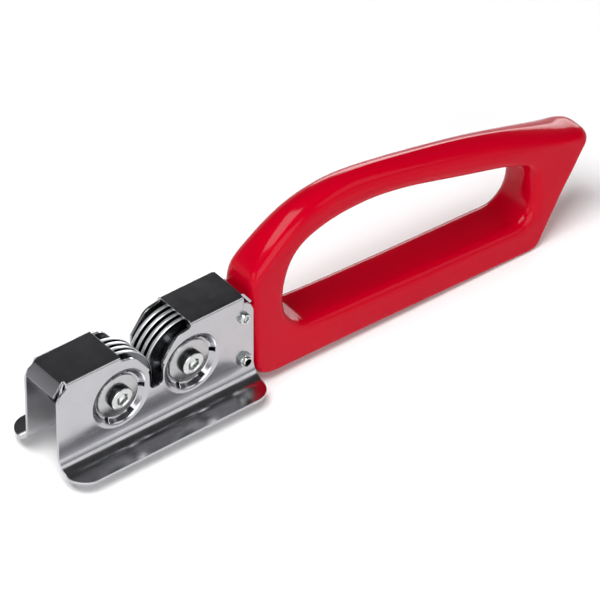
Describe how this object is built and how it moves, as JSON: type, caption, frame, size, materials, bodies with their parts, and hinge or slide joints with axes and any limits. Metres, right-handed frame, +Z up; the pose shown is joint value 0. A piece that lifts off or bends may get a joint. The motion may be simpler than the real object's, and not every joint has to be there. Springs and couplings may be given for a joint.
{
  "type": "handheld knife sharpener",
  "caption": "Handheld pull-through knife sharpener: interleaved steel disc packs in a flanged sheet-steel channel with a V opening, on a moulded loop handle.",
  "frame": {"origin": "bottom centre of the whole tool's bounding box", "axes": "+X from the open front of the channel to the handle's tip, +Z up, Y across the discs"},
  "size_m": [0.221, 0.0404, 0.0619],
  "materials": {
    "stainless_sheet": "satin rolled stainless sheet",
    "red_plastic": "glossy moulded plastic",
    "hardened_disc": "ground and polished hard steel",
    "washer_steel": "turned steel",
    "zinc_fixings": "zinc plated",
    "inner_steel": "dark turned steel"
  },
  "bodies": {
    "housing": {"housing_shell": "stainless_sheet", "handle": "red_plastic", "upper_handle_screw": "zinc_fixings", "lower_handle_screw": "zinc_fixings", "upper_handle_nut": "zinc_fixings", "lower_handle_nut": "zinc_fixings"},
    "front_disc_pack": {"front_axle": "inner_steel", "front_disc_1": "hardened_disc", "front_disc_2": "hardened_disc", "front_disc_3": "hardened_disc", "front_disc_4": "hardened_disc", "front_spacer_1": "inner_steel", "front_spacer_2": "inner_steel", "front_spacer_3": "inner_steel", "front_end_collar_left": "inner_steel", "front_washer_left": "washer_steel", "front_clamp_screw_left": "zinc_fixings", "front_end_collar_right": "inner_steel", "front_washer_right": "washer_steel", "front_clamp_screw_right": "zinc_fixings"},
    "rear_disc_pack": {"rear_axle": "inner_steel", "rear_disc_1": "hardened_disc", "rear_disc_2": "hardened_disc", "rear_disc_3": "hardened_disc", "rear_disc_4": "hardened_disc", "rear_spacer_1": "inner_steel", "rear_spacer_2": "inner_steel", "rear_spacer_3": "inner_steel", "rear_end_collar_left": "inner_steel", "rear_washer_left": "washer_steel", "rear_clamp_screw_left": "zinc_fixings", "rear_end_collar_right": "inner_steel", "rear_washer_right": "washer_steel", "rear_clamp_screw_right": "zinc_fixings"}
  },
  "joints": [
    {"name": "front_pack_turn", "type": "hinge", "parent": "housing", "child": "front_disc_pack", "pos_m": [-0.08512, 0, 0.02259], "axis": [0, 1, 0], "continuous": true},
    {"name": "rear_pack_turn", "type": "hinge", "parent": "housing", "child": "rear_disc_pack", "pos_m": [-0.05672, 0, 0.02259], "axis": [0, 1, 0], "continuous": true}
  ]
}
